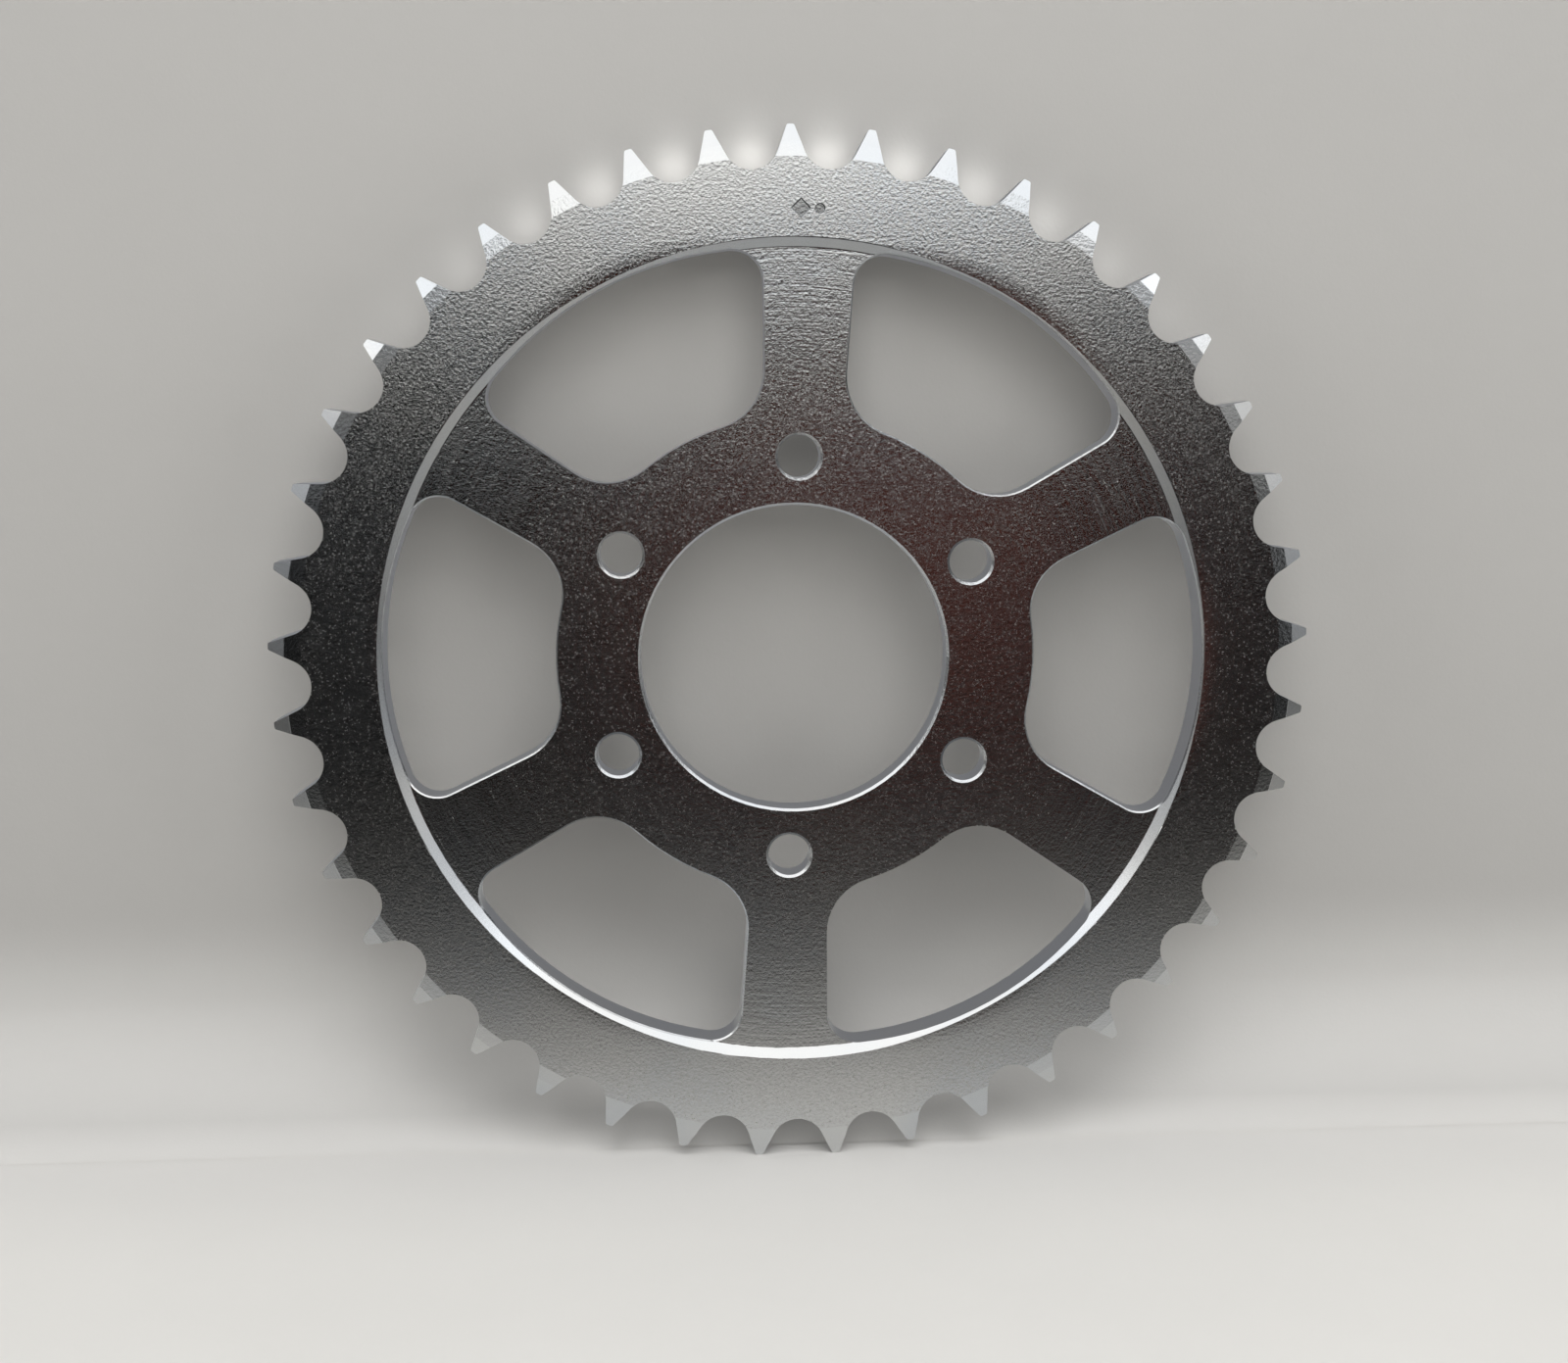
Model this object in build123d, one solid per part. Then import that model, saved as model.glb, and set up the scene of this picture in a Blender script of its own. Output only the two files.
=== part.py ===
"""Rear drive sprocket of a motorcycle: one steel plate with teeth, six spokes, a bore and six bolt holes.

Millimetres. The sprocket spins about Y. Its front face looks toward -Y and one tooth points to +Z.
The origin is the bore's centre at the middle of the tooth thickness, which is the chain line.
Angles are clockwise from +Z, as seen from the front.

The solid is built lying down, with x to the right, y up and z toward the front, and stood up at the end.
"""
from build123d import *
import math
import os

# Chain and teeth
CHAIN_PITCH = 12.7
ROLLER_DIAMETER = 8.51
TEETH = 41
SEAT_RADIUS = 4.49  # concave arc that holds a roller
FLANK_ANGLE = 20.0  # each flank against the tooth's centre line
TIP_RADIUS = 85.75
TIP_ROUND = 0.35

# Plate, from front to back
THICKNESS = 7.0
WEB_RECESS = 1.3  # the front of the web lies this far behind the front of the tooth ring
SHOULDER_RADIUS = 68.1  # where the turned shoulder meets the ring's face
SHOULDER_FOOT_RADIUS = 66.6  # where it meets the web
SHOULDER_ROUND = 0.25
TOOTH_BEVEL_STEPS = [(80.6, 0.0), (83.0, 0.45), (TIP_RADIUS, 1.65)]  # radius, depth below the face

# Hub
BORE_DIAMETER = 50.6
BOLT_COUNT = 6
BOLT_CIRCLE_DIAMETER = 66.3
BOLT_HOLE_DIAMETER = 7.0
BOLT_ANGLE = 1.8
HOLE_BEVEL = 0.4  # at both ends of the bore and of every bolt hole

# Windows between the spokes, punched together as one pattern
WINDOW_COUNT = 6
SPOKE_ANGLE = 2.3
PATTERN_OFFSET = (0.34, 0.18)  # the pattern's centre, right of and above the bore's centre
WINDOW_TOP = 67.5  # reach of the outer arc at the window's middle
WINDOW_ARC_RADIUS = 57.3
WINDOW_HUB_RADIUS = 39.45
SPOKE_WIDTH = 13.96
SPOKE_WIDTH_RADIUS = 53.7  # where that width is measured
SPOKE_FLARE = 2.3  # each side of a spoke opens outward by this many degrees
OUTER_CORNER_RADIUS = 5.0
HUB_CORNER_RADIUS = 9.6
WINDOW_BEVEL = 0.25
ARC_BEVEL = 0.45  # along the outer arc, where it breaks through the ring's face

# Roll-over that the punch leaves in the ring's face beside each window. It sinks ever faster toward
# the window, and is turned about a point on the window's middle.
ROLL_CENTRE = 27.25  # that point's distance from the pattern's centre
ROLL_STEPS = [(43.5, 0.0), (42.5, 0.015), (41.6, 0.045), (40.8, 0.1), (40.0, 0.2)]  # radius, depth

# Punched inspection mark on the ring's face: a diamond and a dot
MARK_RADIUS = 72.6
MARK_DEPTH = 0.35
DIAMOND_ANGLE = 1.2
DIAMOND_SIZE = 2.3
DOT_ANGLE = 3.6
DOT_DIAMETER = 1.7
MARK_TAPER = 25.0

FRONT = THICKNESS / 2
BACK = -THICKNESS / 2
WEB_FRONT = FRONT - WEB_RECESS
PITCH_RADIUS = CHAIN_PITCH / (2 * math.sin(math.pi / TEETH))
ROOT_RADIUS = PITCH_RADIUS - ROLLER_DIAMETER / 2
SEAT_CENTRE_RADIUS = ROOT_RADIUS + SEAT_RADIUS
CLEAR = 1.0  # how far a cutter runs past the face it starts from


def turned(angle):
    """A turn about the axis, clockwise from the front."""
    return Rot(0, 0, -angle)


def blank():
    """The turned disc: bore, recessed web, shoulder and the bevels that thin the teeth toward their tips."""
    bore = BORE_DIAMETER / 2
    front_rim = [(radius, FRONT - depth) for radius, depth in TOOTH_BEVEL_STEPS]
    back_rim = [(radius, BACK + depth) for radius, depth in reversed(TOOTH_BEVEL_STEPS)]
    foot = (SHOULDER_FOOT_RADIUS, WEB_FRONT)
    shoulder = (SHOULDER_RADIUS, FRONT)
    points = [(bore, WEB_FRONT - HOLE_BEVEL), (bore + HOLE_BEVEL, WEB_FRONT), foot, shoulder]
    points += front_rim + back_rim
    points += [(bore + HOLE_BEVEL, BACK), (bore, BACK + HOLE_BEVEL)]
    section = make_face(Polyline(*points, close=True))
    for x, y in (foot, shoulder):
        corner = section.vertices().sort_by_distance((x, y, 0))[0]
        section = fillet(corner, radius=SHOULDER_ROUND)
    return revolve(Plane.XZ * section, axis=Axis.Z)


def tooth_corner():
    """Where the right flank leaves the seat, where its tip rounding starts and where that ends.

    The tooth points to +y. Also gives a point halfway along the rounding.
    """
    flank = math.radians(FLANK_ANGLE)
    along = Vector(-math.sin(flank), math.cos(flank))
    outward = Vector(math.cos(flank), math.sin(flank))
    half_step = math.pi / TEETH
    seat_centre = Vector(math.sin(half_step), math.cos(half_step)) * SEAT_CENTRE_RADIUS
    seat_end = seat_centre - outward * SEAT_RADIUS
    start = seat_end - outward * TIP_ROUND
    reach = TIP_RADIUS - TIP_ROUND
    lean = start.dot(along)
    centre = start + along * (math.sqrt(lean ** 2 - start.dot(start) + reach ** 2) - lean)
    round_start = centre + outward * TIP_ROUND
    round_end = centre * (TIP_RADIUS / reach)
    middle = centre + ((round_start - centre) + (round_end - centre)).normalized() * TIP_ROUND
    return seat_end, round_start, middle, round_end


def tooth_outline():
    """The closed outline of all the teeth."""
    seat_end, round_start, round_middle, round_end = tooth_corner()
    half_step = 180 / TEETH
    seat_bottom = Vector(0, ROOT_RADIUS).rotate(Axis.Z, -half_step)
    tip = Vector(0, TIP_RADIUS)

    def mirrored(point):
        return Vector(-point.X, point.Y)

    edges = []
    for tooth in range(TEETH):
        place = turned(tooth * 2 * half_step)
        next_seat_end = mirrored(seat_end).rotate(Axis.Z, -2 * half_step)
        one = [
            Line(mirrored(seat_end), mirrored(round_start)),
            ThreePointArc(mirrored(round_start), mirrored(round_middle), mirrored(round_end)),
            ThreePointArc(mirrored(round_end), tip, round_end),
            ThreePointArc(round_end, round_middle, round_start),
            Line(round_start, seat_end),
            ThreePointArc(seat_end, seat_bottom, next_seat_end),
        ]
        edges += [place * edge for edge in one]
    return make_face(edges)


def hole(radius, front):
    """A round hole through the web with a bevel at each end."""
    length = front - BACK
    wall = Pos(0, 0, (front + BACK) / 2) * Cylinder(radius, length + 2 * CLEAR)
    bevel = Cone(radius, radius + HOLE_BEVEL, HOLE_BEVEL)
    front_bevel = Pos(0, 0, front - HOLE_BEVEL / 2) * bevel
    back_bevel = Pos(0, 0, BACK + HOLE_BEVEL / 2) * Rot(180, 0, 0) * bevel
    return wall + front_bevel + back_bevel


def bolt_holes():
    cutter = Pos(0, BOLT_CIRCLE_DIAMETER / 2, 0) * hole(BOLT_HOLE_DIAMETER / 2, WEB_FRONT)
    return [turned(BOLT_ANGLE + index * 360 / BOLT_COUNT) * cutter for index in range(BOLT_COUNT)]


def window_outline():
    """One window with its middle on +y."""
    half_angle = 180 / WINDOW_COUNT
    side = math.radians(half_angle - SPOKE_FLARE)
    spoke = math.radians(half_angle)
    half_width = SPOKE_WIDTH / 2
    on_side_x = SPOKE_WIDTH_RADIUS * math.sin(spoke) - half_width * math.cos(spoke)
    on_side_y = SPOKE_WIDTH_RADIUS * math.cos(spoke) + half_width * math.sin(spoke)
    apex_y = on_side_y - on_side_x / math.tan(side)
    reach = 2 * WINDOW_TOP
    right = (reach * math.sin(side), apex_y + reach * math.cos(side))
    wedge = make_face(Polyline((0, apex_y), right, (-right[0], right[1]), close=True))
    arc = Pos(0, WINDOW_TOP - WINDOW_ARC_RADIUS) * Circle(WINDOW_ARC_RADIUS)
    outline = (arc & wedge) - Circle(WINDOW_HUB_RADIUS)
    outline = fillet(outline.vertices().sort_by(Axis.Y)[:2], radius=HUB_CORNER_RADIUS)
    return fillet(outline.vertices().sort_by(Axis.Y)[-2:], radius=OUTER_CORNER_RADIUS)


def window_edges(body, face_z, outer_limit):
    """The window edges that lie in one face of the web, out to a limiting radius."""
    edges = []
    for edge in body.edges().filter_by_position(Axis.Z, face_z, face_z):
        middle = edge @ 0.5
        if WINDOW_HUB_RADIUS - CLEAR < math.hypot(middle.X, middle.Y) < outer_limit:
            edges.append(edge)
    return edges


def arc_bevel():
    """Breaks the outer arc of a window where it cuts through the ring's face."""
    tool = Cone(WINDOW_ARC_RADIUS, WINDOW_ARC_RADIUS + ARC_BEVEL, ARC_BEVEL)
    return Pos(0, WINDOW_TOP - WINDOW_ARC_RADIUS, FRONT - ARC_BEVEL / 2) * tool


def roll_over():
    """A shallow dish that sinks the ring's face toward a window."""
    points = [(0, FRONT + CLEAR), (ROLL_STEPS[0][0], FRONT + CLEAR)]
    points += [(radius, FRONT - depth) for radius, depth in ROLL_STEPS]
    points.append((0, FRONT - ROLL_STEPS[-1][1]))
    section = make_face(Polyline(*points, close=True))
    return Pos(0, ROLL_CENTRE, 0) * revolve(Plane.XZ * section, axis=Axis.Z)


def cut_windows(body):
    """Punches the windows: first the roll-over beside each, then the walls, then the broken edges."""
    wall = extrude(window_outline(), THICKNESS, both=True)
    for tool in (roll_over(), arc_bevel(), wall):
        for index in range(WINDOW_COUNT):
            angle = SPOKE_ANGLE + (index + 0.5) * 360 / WINDOW_COUNT
            body -= Pos(*PATTERN_OFFSET) * turned(angle) * tool
    front_limit = SHOULDER_FOOT_RADIUS - SHOULDER_ROUND
    for face_z, outer_limit in ((BACK, SHOULDER_RADIUS), (WEB_FRONT, front_limit)):
        body = chamfer(window_edges(body, face_z, outer_limit), WINDOW_BEVEL)
    return body


def inspection_mark():
    diamond = Rot(0, 0, 45) * Rectangle(DIAMOND_SIZE, DIAMOND_SIZE)
    dot = Circle(DOT_DIAMETER / 2)
    marks = []
    for angle, shape in ((DIAMOND_ANGLE, diamond), (DOT_ANGLE, dot)):
        tool = extrude(Pos(0, MARK_RADIUS, FRONT) * shape, MARK_DEPTH, dir=(0, 0, -1), taper=MARK_TAPER)
        marks.append(turned(angle) * tool)
    return marks


def sprocket():
    body = blank() & extrude(tooth_outline(), THICKNESS, both=True)
    body = cut_windows(body)
    body -= bolt_holes()
    body -= inspection_mark()
    return Rot(90, 0, 0) * body


os.makedirs("parts", exist_ok=True)
part = sprocket()
part.label = "sprocket"
export_step(part, "parts/sprocket.step")
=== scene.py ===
"""Looks of a motorcycle's rear sprocket: zinc-plated steel on a pale sweep, in soft light from the top front.

Metres, in the CAD frame: the sprocket stands on its lowest teeth, its axle is Y and its front looks
toward -Y. The origin is on the axle, at the middle of the sprocket's thickness.
"""
import math
from types import SimpleNamespace

import bpy
from mathutils import Matrix, Vector


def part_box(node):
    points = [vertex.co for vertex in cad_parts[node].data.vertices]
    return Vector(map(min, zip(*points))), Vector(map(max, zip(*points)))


MM = 0.001
BLACK = (0.0, 0.0, 0.0)
CENTRE = (0.0, 0.0, 0.0)

# Camera
CAMERA_PLACE = (-0.0196, -0.3361, 0.0459)
CAMERA_TARGET = (-0.0016, 0.0, -0.0041)
CAMERA_ROLL = -0.44  # degrees
CAMERA_LENS = 47.03  # mm
SENSOR_WIDTH = 36.0  # mm
CAMERA_CLIP = 0.01  # nothing nearer is seen

# Stage. The wall stands close behind the sprocket and leans a little over it
FLOOR_REACH = 1.5
WALL_TOP = 0.6
WALL_PLACE = (0.0055, 0.085)  # a point on the wall, in Y and Z
WALL_LEAN = 6.5  # degrees
WALL_BASE = 0.0002  # above the floor
CURVE_RADIUS = 0.020  # of the sweep from the floor into the wall
CURVE_STEPS = 48

# Tones of the stage's paper, and where one fades into the next. Only the floor's tone is the paper's own. The
# corner, the wall's foot and the wall are painted darker as shade, because the light falls from above. The
# floor behind the wall is painted lighter against the wall's shade
FLOOR_COLOUR = (0.672, 0.662, 0.637)
CORNER_SHADE_COLOUR = (0.63, 0.621, 0.602)  # painted shade where the floor meets the sweep
FOOT_SHADE_COLOUR = (0.435, 0.428, 0.414)  # painted shade at the foot of the wall
# painted shade: the wall is darker than the floor because less light falls on it
WALL_SHADE_COLOUR = (0.315, 0.308, 0.295)
BEHIND_LIGHT_COLOUR = (0.95, 0.94, 0.92)  # painted light: the floor behind the wall, lighter against the wall's shade
ROOM_COLOUR = (0.55, 0.54, 0.52)  # behind everything
ROOM_LIGHT = (0.01, 0.01, 0.01)  # what the room adds to the light
CORNER_SHADE_HEIGHT = 0.003  # the corner's painted shade has become the foot's at this height
FOOT_SHADE_FADE = (0.018, 0.040)  # heights over which the foot's painted shade becomes the wall's darker one
CORNER_SHADE_FADE = (0.0, -0.04)  # Y over which the corner's painted shade gives way to the floor's tone, toward the front
BEHIND_LIGHT_FADE = (0.025, 0.035)  # Y over which the floor behind the wall turns to painted light
ROOM_FADE = (0.3, 0.8)  # distance from the origin
MOTTLE = 0.95  # the darkest spots, against the plain tone
PAPER_ROUGHNESS = 0.85
FIBRE_DEPTH = 0.02 * MM

# Light that the gullets between the upper teeth throw back onto the wall
TEETH = 41
GLOWING_GULLETS = 14
GULLET_RADIUS = 0.0791
GLOW_TILT = 72.0  # degrees toward the wall
GLOW_SPREAD = 110.0  # degrees
GLOW_SIZE = 0.0045
GLOW_POWER = 0.0005

# Cards that the metal reflects
LAMP_COLOUR = (1.0, 1.0, 0.98)
LAMP_STRENGTH = 1.65
LAMP_FADE = 0.1  # share of the lamp's height over which it comes up from dark
CEILING_COLOUR = (1.0, 1.0, 1.0)
CEILING_STRENGTH = 1.45
WARM_COLOUR = (0.075, 0.014, 0.007)
BACK_COLOUR = (0.25, 0.25, 0.26)
DARK_LIFT = 0.001  # of the dark card above the floor
DARK_REACH = 0.079  # the card is mostly dark beyond this distance in Y
DARK_FALLOFF = 1.3  # how suddenly it darkens there

# Zones of the steel. Radii from the axle and places along it, in millimetres
RING_FACE = -3.5
WEB_FACE = -2.2
WEB_PLACE = (WEB_FACE - 0.5, 0.0)
CUT_RADII = (76.0, 74.0)  # walls inside these are the bore's, the bolt holes' and the windows'
SHOULDER_RADII = (66.3, 68.4)
BEVEL_RADIUS = 83.0  # the teeth's steep bevel starts here
MARK_PLACE = (RING_FACE + 0.2, RING_FACE + 0.5)  # the sunk floor of the inspection mark, painted darker as shade
MARK_RADII = (70.6, 74.9)
STREAK_RADII = (42.0, 56.0)  # the lathe's streaks come up over these
EDGE = 0.1  # how softly a zone ends

# The same by how squarely a face looks along the axle, from 0 to 1
FLAT_FACING = (0.985, 0.998)
WALL_FACING = (0.6, 0.3)
SHOULDER_FACING = (0.6, 0.97)
FACING_EDGE = 0.02

# Colour, roughness and texture of the steel
ZINC = (0.66, 0.665, 0.66)
ZINC_COOL = (0.60, 0.625, 0.65)
BLASTED = (0.61, 0.61, 0.605)
STREAKED = (0.50, 0.50, 0.495)
CLOUD_FADE = (0.35, 0.65)  # noise levels between the two tones of zinc
SPECK_FADE = (0.36, 0.72)  # noise levels between clean plating and a speck
STREAK_SHARE = 0.7  # how far the specks follow the lathe where it shows
# darker tone of the bore's, bolt holes' and windows' walls: partly the cut steel's own, partly painted shade
CUT_STEEL_AND_SHADE = (0.42, 0.43, 0.44)
CUT_STEEL_AND_SHADE_SHARE = 0.5
# painted shade in the inspection mark's sunk floor
SUNK_SHADE = (0.10, 0.10, 0.10)
SUNK_SHADE_SHARE = 0.5
PLATED_ROUGHNESS = 0.185
CUT_ROUGHNESS = 0.28
TURNED_ROUGHNESS = 0.26
SPECK_ROUGHNESS = 0.095  # on top of the plating's
CUT_GRAIN = 0.25  # share of the grain's height that is left on each kind of wall
BEVEL_GRAIN = 0.2
SHOULDER_GRAIN = 0.15
HUB_STREAKS = 0.25  # share of the streaks' height that is left near the hub
GRAIN_DEPTH = 0.045 * MM
STREAK_DEPTH = 0.028 * MM
CUT_DEPTH = 0.02 * MM


class Graph:
    """One material's node tree. A value goes in as a number, a tuple or another node's output."""

    def __init__(self, name):
        self.material = bpy.data.materials.new(name)
        self.material.use_nodes = True
        self.tree = self.material.node_tree
        self.tree.nodes.clear()

    def node(self, kind, **settings):
        made = self.tree.nodes.new(kind)
        for key, value in settings.items():
            setattr(made, key, value)
        return made

    def feed(self, socket, value):
        if isinstance(value, bpy.types.NodeSocket):
            self.tree.links.new(value, socket)
        elif isinstance(value, tuple) and len(value) == 3 and socket.type == "RGBA":
            socket.default_value = (*value, 1.0)
        else:
            socket.default_value = value

    def feed_all(self, sockets, values):
        for socket, value in zip(sockets, values):
            self.feed(socket, value)

    def coordinates(self, kind):
        return self.node("ShaderNodeTexCoord").outputs[kind]

    def geometry(self, kind):
        return self.node("ShaderNodeNewGeometry").outputs[kind]

    def camera_ray(self):
        return self.node("ShaderNodeLightPath").outputs["Is Camera Ray"]

    def math(self, operation, *values):
        made = self.node("ShaderNodeMath", operation=operation)
        self.feed_all(made.inputs, values)
        return made.outputs[0]

    def product(self, first, second):
        return self.math("MULTIPLY", first, second)

    def step(self, value, low, high):
        """Rises smoothly from 0 at low to 1 at high, or falls if high is the smaller."""
        made = self.node("ShaderNodeMapRange", interpolation_type="SMOOTHSTEP")
        self.feed(made.inputs["Value"], value)
        self.feed(made.inputs["From Min"], min(low, high))
        self.feed(made.inputs["From Max"], max(low, high))
        if high < low:
            self.feed(made.inputs["To Min"], 1.0)
            self.feed(made.inputs["To Max"], 0.0)
        return made.outputs["Result"]

    def band(self, value, low, high, soft):
        """1 between low and high, and 0 outside them."""
        inside = self.step(value, low - soft, low + soft)
        return self.product(inside, self.step(value, high + soft, high - soft))

    def split(self, vector):
        made = self.node("ShaderNodeSeparateXYZ")
        self.feed(made.inputs[0], vector)
        return made.outputs

    def vector(self, x, y, z):
        made = self.node("ShaderNodeCombineXYZ")
        self.feed_all(made.inputs, (x, y, z))
        return made.outputs[0]

    def length(self, vector):
        made = self.node("ShaderNodeVectorMath", operation="LENGTH")
        self.feed(made.inputs[0], vector)
        return made.outputs["Value"]

    def scale(self, vector, factor):
        """Scales a vector or a colour."""
        made = self.node("ShaderNodeVectorMath", operation="SCALE")
        self.feed(made.inputs["Vector"], vector)
        self.feed(made.inputs["Scale"], factor)
        return made.outputs["Vector"]

    def noise(self, vector, scale, detail=2.0, roughness=0.5):
        made = self.node("ShaderNodeTexNoise")
        self.feed(made.inputs["Vector"], vector)
        self.feed(made.inputs["Scale"], scale)
        self.feed(made.inputs["Detail"], detail)
        self.feed(made.inputs["Roughness"], roughness)
        return made.outputs["Fac"]

    def mix(self, factor, first, second):
        """Blends two numbers."""
        made = self.node("ShaderNodeMix", data_type="FLOAT")
        self.feed_all((made.inputs[0], made.inputs[2], made.inputs[3]), (factor, first, second))
        return made.outputs[0]

    def tint(self, factor, first, second):
        """Blends two colours."""
        made = self.node("ShaderNodeMix", data_type="RGBA")
        self.feed_all((made.inputs[0], made.inputs[6], made.inputs[7]), (factor, first, second))
        return made.outputs[2]

    def bump(self, height, depth, normal=None):
        """Height 0 to 1 stands for depth in metres."""
        made = self.node("ShaderNodeBump")
        self.feed(made.inputs["Height"], height)
        self.feed(made.inputs["Distance"], depth)
        if normal is not None:
            self.feed(made.inputs["Normal"], normal)
        return made.outputs["Normal"]

    def emission(self, colour, strength=1.0):
        made = self.node("ShaderNodeEmission")
        self.feed(made.inputs["Color"], colour)
        self.feed(made.inputs["Strength"], strength)
        return made.outputs[0]

    def clear(self):
        return self.node("ShaderNodeBsdfTransparent").outputs[0]

    def show(self, shader):
        """Makes a shader the material's surface."""
        output = self.node("ShaderNodeOutputMaterial")
        self.tree.links.new(shader, output.inputs["Surface"])
        return self.material

    def surface(self, **inputs):
        """A surface with named inputs, where _ stands for a space."""
        shader = self.node("ShaderNodeBsdfPrincipled")
        for name, value in inputs.items():
            self.feed(shader.inputs[name.replace("_", " ")], value)
        return self.show(shader.outputs[0])

    def light(self, colour, strength):
        """Gives light and reflects none."""
        return self.show(self.emission(colour, strength))

    def overlay(self, factor, shader):
        """Shows another shader in place of the surface, by a factor of 0 to 1."""
        output = self.tree.nodes["Material Output"].inputs["Surface"]
        blend = self.node("ShaderNodeMixShader")
        self.feed_all(blend.inputs, (factor, output.links[0].from_socket, shader))
        self.tree.links.new(blend.outputs[0], output)


def steel_zones(g, y, radius):
    """How much each spot belongs to each kind of surface, from 0 to 1."""
    facing = g.math("ABSOLUTE", g.split(g.geometry("True Normal"))[1])
    flat = g.step(facing, *FLAT_FACING)
    wall = g.step(facing, *WALL_FACING)
    web = g.product(flat, g.band(y, *WEB_PLACE, EDGE))
    off_wall = g.step(wall, 1.0, 0.0)
    return SimpleNamespace(
        flat=flat,
        wall=wall,
        web=web,
        streaked=g.product(web, g.step(radius, *STREAK_RADII)),
        cut=g.product(wall, g.step(radius, *CUT_RADII)),
        bevel=g.product(g.step(radius, BEVEL_RADIUS - EDGE, BEVEL_RADIUS + EDGE), off_wall),
        shoulder=g.product(
            g.band(radius, *SHOULDER_RADII, EDGE),
            g.band(facing, *SHOULDER_FACING, FACING_EDGE),
        ),
        mark=g.product(g.band(y, *MARK_PLACE, EDGE), g.band(radius, *MARK_RADII, EDGE)),
    )


def lathe_noise(g, x, z, radius):
    """Noise drawn out around the axle."""
    outward = 2.4
    around = 5.0
    turned = g.vector(
        g.product(radius, outward),
        g.product(g.math("DIVIDE", x, radius), around),
        g.product(g.math("DIVIDE", z, radius), around),
    )
    return g.noise(turned, scale=1.0, detail=3.0, roughness=0.6)


def cut_noise(g, x, y, z):
    """Noise drawn out along the axle, as a punch or a drill leaves on a wall."""
    across = 2.0
    along = 0.25
    sheared = g.vector(g.product(x, across), g.product(y, along), g.product(z, across))
    return g.noise(sheared, scale=1.0, detail=2.0, roughness=0.5)


def speckle(g, zones, x, z, lathe):
    """Small dull spots: blasted on the flat faces, and drawn into streaks where the lathe shows."""
    layer = 7.0
    blast = g.noise(g.vector(x, z, layer), scale=2.5, detail=2.0, roughness=0.6)
    pattern = g.mix(g.product(zones.streaked, STREAK_SHARE), blast, lathe)
    return g.product(zones.flat, g.step(pattern, *SPECK_FADE))


def steel_colour(g, zones, place, specks):
    clouds = g.noise(place, scale=0.035, detail=2.0, roughness=0.5)
    colour = g.tint(g.step(clouds, *CLOUD_FADE), ZINC, ZINC_COOL)
    colour = g.tint(specks, colour, g.tint(zones.streaked, BLASTED, STREAKED))
    # painted shade on the inspection mark's sunk floor
    colour = g.tint(g.product(zones.mark, SUNK_SHADE_SHARE), colour, SUNK_SHADE)
    # the inner walls are darkened: partly the cut steel's tone, partly painted shade
    return g.tint(g.product(zones.cut, CUT_STEEL_AND_SHADE_SHARE), colour, CUT_STEEL_AND_SHADE)


def steel_roughness(g, zones, specks):
    roughness = g.mix(zones.wall, PLATED_ROUGHNESS, CUT_ROUGHNESS)
    roughness = g.mix(zones.bevel, roughness, TURNED_ROUGHNESS)
    roughness = g.mix(zones.shoulder, roughness, TURNED_ROUGHNESS)
    return g.math("ADD", roughness, g.product(specks, SPECK_ROUGHNESS))


def steel_normal(g, zones, place, lathe, cut_lines):
    grain = g.noise(place, scale=2.0, detail=2.0, roughness=0.6)
    grain_share = g.mix(zones.bevel, g.mix(zones.wall, 1.0, CUT_GRAIN), BEVEL_GRAIN)
    grain_share = g.mix(zones.shoulder, grain_share, SHOULDER_GRAIN)
    normal = g.bump(g.product(grain, grain_share), GRAIN_DEPTH)
    streak_share = g.product(zones.web, g.mix(zones.streaked, HUB_STREAKS, 1.0))
    normal = g.bump(g.product(lathe, streak_share), STREAK_DEPTH, normal)
    return g.bump(g.product(cut_lines, zones.wall), CUT_DEPTH, normal)


def zinc_steel():
    """Zinc-plated steel: blasted faces, a web that also shows the lathe, smoother bevels, and cut walls."""
    g = Graph("zinc_plated_steel")
    place = g.scale(g.coordinates("Object"), 1 / MM)
    x, y, z = g.split(place)
    radius = g.math("SQRT", g.math("ADD", g.product(x, x), g.product(z, z)))
    zones = steel_zones(g, y, radius)
    lathe = lathe_noise(g, x, z, radius)
    specks = speckle(g, zones, x, z, lathe)
    return g.surface(
        Base_Color=steel_colour(g, zones, place, specks),
        Metallic=1.0,
        Roughness=steel_roughness(g, zones, specks),
        Normal=steel_normal(g, zones, place, lathe, cut_noise(g, x, y, z)),
    )


def paper(g, place, colour):
    """Matte card with a faint mottle."""
    mottle = g.noise(place, scale=30.0, detail=4.0, roughness=0.6)
    fibres = g.noise(place, scale=1500.0, detail=2.0, roughness=0.6)
    return g.surface(
        Base_Color=g.scale(colour, g.mix(mottle, 1.0, MOTTLE)),
        Roughness=PAPER_ROUGHNESS,
        Normal=g.bump(fibres, FIBRE_DEPTH),
    )


def floor_paper():
    """Pale card that fades from the corner's painted shade toward the front and to painted light behind the
    wall, and into the room with distance.
    """
    g = Graph("pale_floor_painted_light_and_shade")
    place = g.coordinates("Object")
    across = g.split(place)[1]
    # painted shade near the wall, fading toward the front
    colour = g.tint(g.step(across, *CORNER_SHADE_FADE), CORNER_SHADE_COLOUR, FLOOR_COLOUR)
    # painted light on the floor behind the wall, against the wall's shade
    colour = g.tint(g.step(across, *BEHIND_LIGHT_FADE), colour, BEHIND_LIGHT_COLOUR)
    material = paper(g, place, colour)
    distant = g.step(g.length(place), *ROOM_FADE)
    g.overlay(g.product(distant, g.camera_ray()), g.emission(ROOM_COLOUR))
    return material


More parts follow.
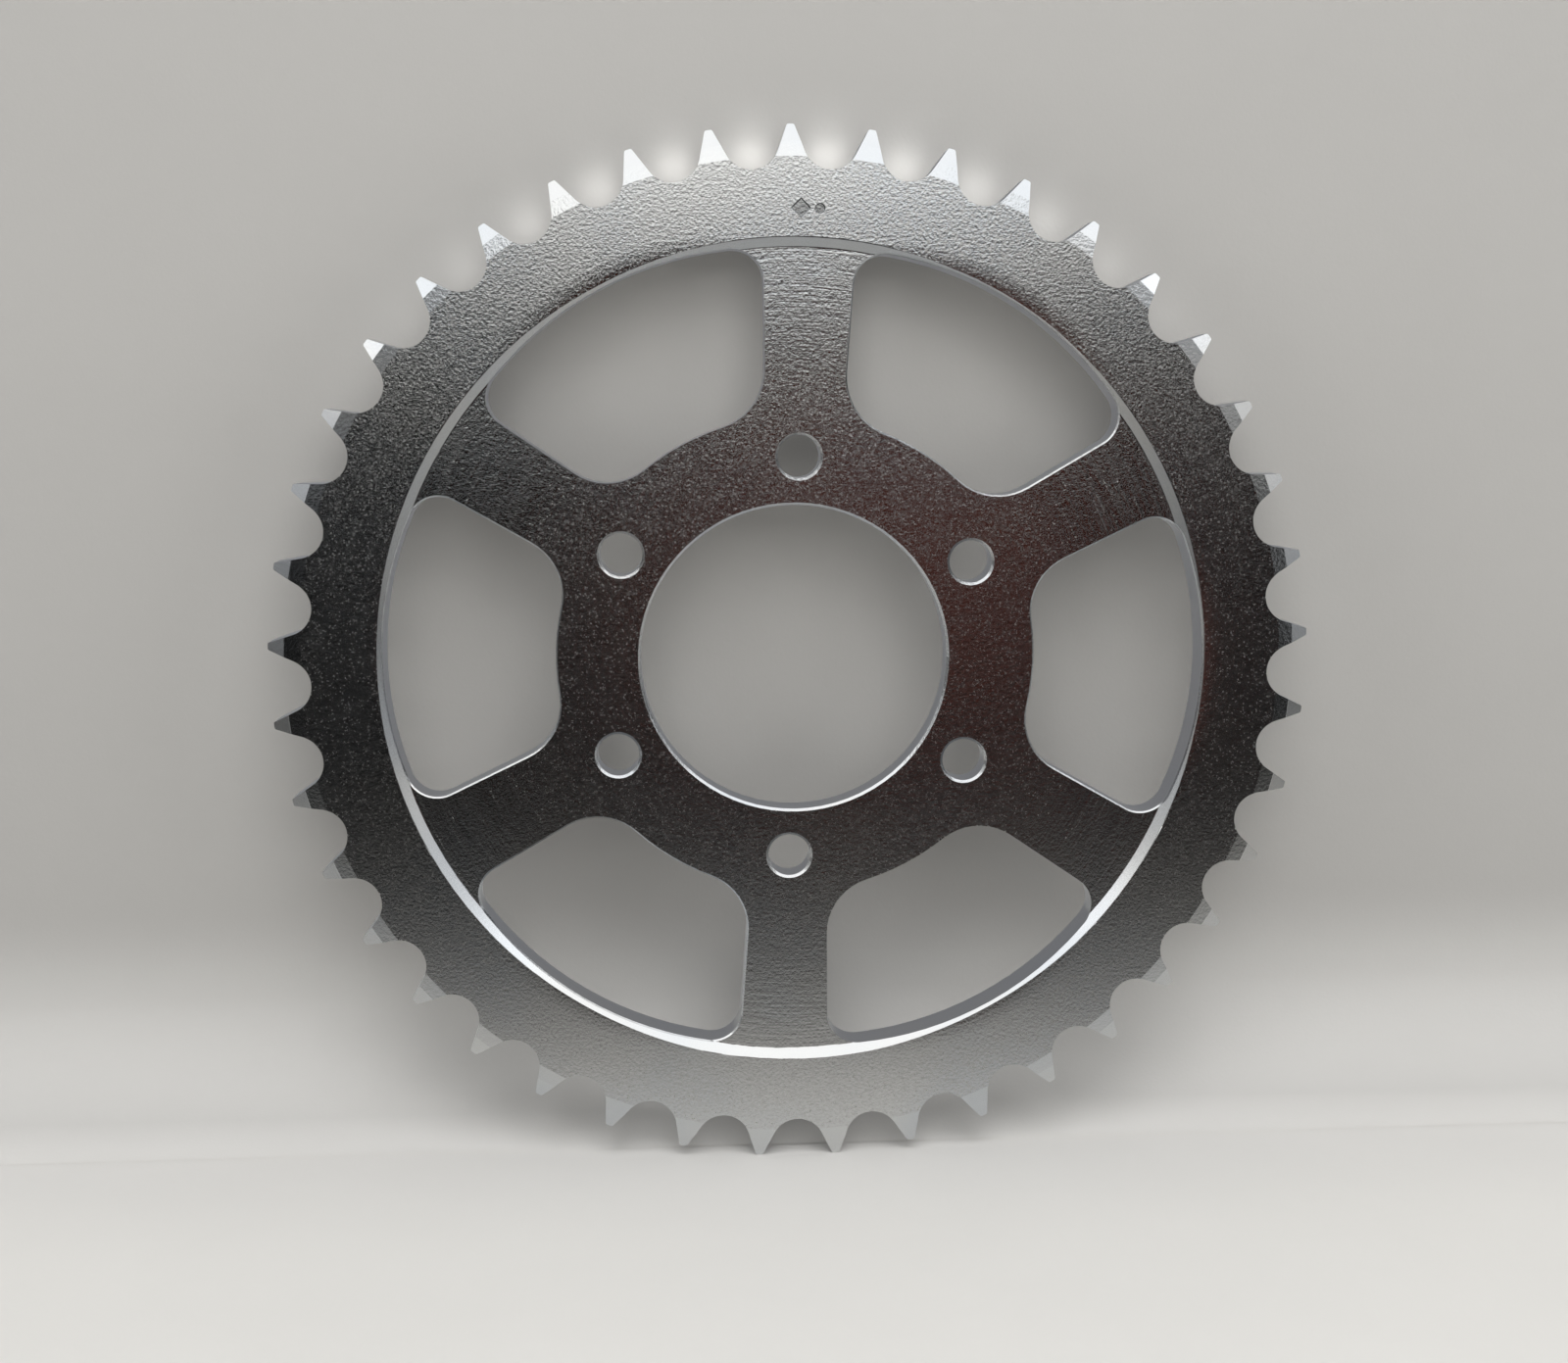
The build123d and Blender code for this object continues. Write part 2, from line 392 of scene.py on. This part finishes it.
def wall_paper(base):
    """Pale card that fades from the corner's painted shade at its base to the wall's darker painted shade.

    The camera looks through its back.
    """
    g = Graph("pale_wall_painted_shade")
    place = g.coordinates("Object")
    height = g.math("SUBTRACT", g.split(place)[2], base)
    # painted shade: the corner's tone rises into the foot's, then into the wall's darker tone
    along_curve = g.math("SQRT", g.math("DIVIDE", height, CORNER_SHADE_HEIGHT))
    colour = g.tint(along_curve, CORNER_SHADE_COLOUR, FOOT_SHADE_COLOUR)
    colour = g.tint(g.step(height, *FOOT_SHADE_FADE), colour, WALL_SHADE_COLOUR)
    material = paper(g, place, colour)
    g.overlay(g.product(g.geometry("Backfacing"), g.camera_ray()), g.clear())
    return material


def plain_glow(name, colour, strength=1.0):
    return Graph(name).light(colour, strength)


def fading_lamp():
    """A lamp that is dark at its lower edge."""
    g = Graph("lamp_card")
    height = g.split(g.coordinates("Generated"))[1]
    return g.light(LAMP_COLOUR, g.product(g.step(height, 0.0, LAMP_FADE), LAMP_STRENGTH))


def fading_dark():
    """Clear at the sprocket and darker with distance in front of it, like a floor that leaves the light."""
    g = Graph("dark_floor")
    across = g.split(g.geometry("Position"))[1]
    distance = g.math("DIVIDE", g.math("ABSOLUTE", across), DARK_REACH)
    clear_share = g.math("EXPONENT", g.product(g.math("POWER", distance, DARK_FALLOFF), -1.0))
    material = g.light(BLACK, 1.0)
    g.overlay(clear_share, g.clear())
    return material


def add_mesh(name, points, faces, material):
    mesh = bpy.data.meshes.new(name)
    mesh.from_pydata(points, [], faces)
    mesh.materials.append(material)
    made = bpy.data.objects.new(name, mesh)
    bpy.context.scene.collection.objects.link(made)
    return made


def add_floor(floor):
    far = FLOOR_REACH
    corners = [(-far, -far, floor), (far, -far, floor), (far, far, floor), (-far, far, floor)]
    return add_mesh("floor", corners, [(0, 1, 2, 3)], floor_paper())


def wall_profile(base):
    """Points in Y and Z: up the curve from the floor, then straight to the top of the wall."""
    lean = math.radians(WALL_LEAN)
    turn = math.pi / 2 + lean
    centre_up = base + CURVE_RADIUS
    wall_y, wall_z = WALL_PLACE
    centre_across = wall_y + (wall_z - centre_up) * math.tan(lean) - CURVE_RADIUS / math.cos(lean)
    profile = []
    for index in range(CURVE_STEPS + 1):
        angle = index / CURVE_STEPS * turn
        across = centre_across + CURVE_RADIUS * math.sin(angle)
        profile.append((across, centre_up - CURVE_RADIUS * math.cos(angle)))
    end_y, end_z = profile[-1]
    profile.append((end_y - (WALL_TOP - end_z) * math.tan(lean), WALL_TOP))
    return profile


def add_wall(floor):
    """The wall and the curve that runs into the floor, in one sheet that casts no shadow."""
    base = floor + WALL_BASE
    profile = wall_profile(base)
    points = [(side, across, up) for across, up in profile for side in (-FLOOR_REACH, FLOOR_REACH)]
    faces = [(2 * i, 2 * i + 1, 2 * i + 3, 2 * i + 2) for i in range(len(profile) - 1)]
    sheet = add_mesh("wall", points, faces, wall_paper(base))
    for polygon in sheet.data.polygons:
        polygon.use_smooth = True
    sheet.visible_glossy = False
    sheet.visible_shadow = False
    return sheet


def aim(place, target, roll=0.0):
    """A matrix at place whose -Z looks at target, rolled about the line of sight."""
    turn = (Vector(target) - Vector(place)).to_track_quat("-Z", "Y").to_matrix().to_4x4()
    return Matrix.Translation(place) @ turn @ Matrix.Rotation(math.radians(roll), 4, "Z")


def card(name, place, target, size, material):
    """A sheet that only the metal's reflections see, like a studio's card out of frame."""
    x, y = size[0] / 2, size[1] / 2
    made = add_mesh(name, [(-x, -y, 0), (x, -y, 0), (x, y, 0), (-x, y, 0)], [(0, 1, 2, 3)], material)
    made.matrix_world = aim(place, target)
    made.visible_camera = False
    made.visible_diffuse = False
    made.visible_shadow = False


def soft_box(name, place, target, size, power, reflected=True):
    """A rectangular light out of the camera's sight. The metal may reflect it or not."""
    light = bpy.data.lights.new(name, "AREA")
    light.shape = "RECTANGLE"
    light.size, light.size_y = size
    light.energy = power
    made = bpy.data.objects.new(name, light)
    made.matrix_world = aim(place, target)
    made.visible_camera = False
    made.visible_glossy = reflected
    bpy.context.scene.collection.objects.link(made)
    return light


def gullet_glow():
    """One small light at the bottom of each upper gullet, strongest at the top of the ring."""
    tilt = math.radians(GLOW_TILT)
    size = (GLOW_SIZE, GLOW_SIZE)
    for index in range(GLOWING_GULLETS):
        angle = (index + 0.5 - GLOWING_GULLETS / 2) * 2 * math.pi / TEETH
        outward = Vector((math.sin(angle), 0.0, math.cos(angle)))
        place = outward * GULLET_RADIUS
        target = place + outward * math.cos(tilt) + Vector((0.0, math.sin(tilt), 0.0))
        power = GLOW_POWER * math.cos(angle) ** 2
        light = soft_box(f"gullet_{index}", place, target, size, power, reflected=False)
        light.spread = math.radians(GLOW_SPREAD)


def light_stage():
    """Lights the paper. The metal reflects only the two boxes at the sides, and the cards."""
    below_centre = (0.0, 0.0, -0.02)
    low = (0.0, 0.0, -0.06)
    soft_box("top", (0.0, -0.42, 0.55), CENTRE, (0.50, 0.35), 3.6, reflected=False)
    soft_box("fill", (0.0, -0.80, 0.12), below_centre, (0.80, 0.40), 0.9, reflected=False)
    soft_box("front", (0.06, -0.73, 0.38), below_centre, (0.80, 0.35), 2.4, reflected=False)
    for side, sign in (("left", -1), ("right", 1)):
        soft_box(f"{side}_fill", (sign * 0.60, -0.28, 0.03), low, (0.40, 0.20), 1.4, reflected=False)
    for side, sign, power in (("left", -1, 0.18), ("right", 1, 0.22)):
        soft_box(side, (sign * 0.50, -0.20, 0.20), (0.0, -0.02, 0.0), (0.30, 0.30), power)
    gullet_glow()


def hang_upper_cards():
    """Bright cards above, which the upper half of the sprocket reflects."""
    bright = plain_glow("ceiling_card", CEILING_COLOUR, CEILING_STRENGTH)
    card("lamp", (0.015, -0.55, 0.245), (0.015, 0.0, 0.07), (0.42, 0.28), fading_lamp())
    card("ceiling", (0.0, -0.30, 0.361), (0.0, -0.138, -0.004), (1.2, 0.438), bright)
    card("overhead", (0.0, 0.12, 0.46), (0.0, 0.12, 0.0), (1.2, 0.5), bright)


def hang_front_cards(floor):
    """Dark cards for the middle and the lower half, and a dim red-brown one for the hub's right side."""
    middle = -0.504
    card("dark_floor", (0.0, middle, floor + DARK_LIFT), (0.0, middle, 1.0), (2.0, 1.0), fading_dark())
    dark = plain_glow("dark_card", BLACK)
    card("dark_front", (0.0, -0.75, 0.02), (0.0, 0.0, 0.02), (1.2, 0.22), dark)
    warm = plain_glow("warm_card", WARM_COLOUR)
    card("warm_front", (0.064, -0.45, -0.028), (0.064, 0.0, -0.028), (0.16, 0.106), warm)


def hang_side_cards():
    """Grey cards at the sides, brighter on the right."""
    materials = {}
    for side, grey in (("left", 0.20), ("right", 0.40)):
        materials[side] = plain_glow(f"{side}_side_card", (grey, grey, grey))
    for side, across in (("left", -0.36), ("right", 0.40)):
        card(f"{side}_side", (across, -0.50, 0.18), CENTRE, (0.25, 0.20), materials[side])
    for side, across in (("left", -0.60), ("right", 0.60)):
        card(f"{side}_low", (across, -0.25, -0.02), (0.0, 0.0, -0.02), (0.50, 0.12), materials[side])


def hang_back_card():
    """A grey card for the sprocket's back."""
    back = plain_glow("back_card", BACK_COLOUR)
    card("back", (0.0, 0.45, 0.10), (0.0, 0.0, 0.05), (1.8, 1.0), back)


def add_room():
    """A plain room: one level of grey behind everything for the camera, and another that lights the scene."""
    world = bpy.data.worlds.new("room")
    world.use_nodes = True
    tree = world.node_tree
    shader = tree.nodes["Background"]
    path = tree.nodes.new("ShaderNodeLightPath")
    blend = tree.nodes.new("ShaderNodeMix")
    blend.data_type = "RGBA"
    blend.inputs[6].default_value = (*ROOM_LIGHT, 1.0)
    blend.inputs[7].default_value = (*ROOM_COLOUR, 1.0)
    tree.links.new(path.outputs["Is Camera Ray"], blend.inputs[0])
    tree.links.new(blend.outputs[2], shader.inputs["Color"])
    bpy.context.scene.world = world


def add_camera():
    data = bpy.data.cameras.new("camera")
    data.lens = CAMERA_LENS
    data.sensor_width = SENSOR_WIDTH
    data.sensor_fit = "HORIZONTAL"
    data.clip_start = CAMERA_CLIP
    made = bpy.data.objects.new("camera", data)
    made.matrix_world = aim(CAMERA_PLACE, CAMERA_TARGET, CAMERA_ROLL)
    bpy.context.scene.collection.objects.link(made)
    bpy.context.scene.camera = made


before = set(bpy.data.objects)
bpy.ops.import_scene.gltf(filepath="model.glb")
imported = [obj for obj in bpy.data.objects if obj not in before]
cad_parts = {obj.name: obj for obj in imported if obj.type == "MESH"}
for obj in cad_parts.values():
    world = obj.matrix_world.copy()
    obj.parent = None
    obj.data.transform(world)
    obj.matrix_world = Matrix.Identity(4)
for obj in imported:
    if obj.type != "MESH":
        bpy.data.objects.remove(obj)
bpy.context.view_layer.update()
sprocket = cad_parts["sprocket"]
sprocket.data.materials.clear()
sprocket.data.materials.append(zinc_steel())

floor_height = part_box("sprocket")[0].z
add_floor(floor_height)
add_wall(floor_height)
add_room()
light_stage()
hang_upper_cards()
hang_front_cards(floor_height)
hang_side_cards()
hang_back_card()
add_camera()
bpy.context.scene.view_settings.view_transform = "Standard"
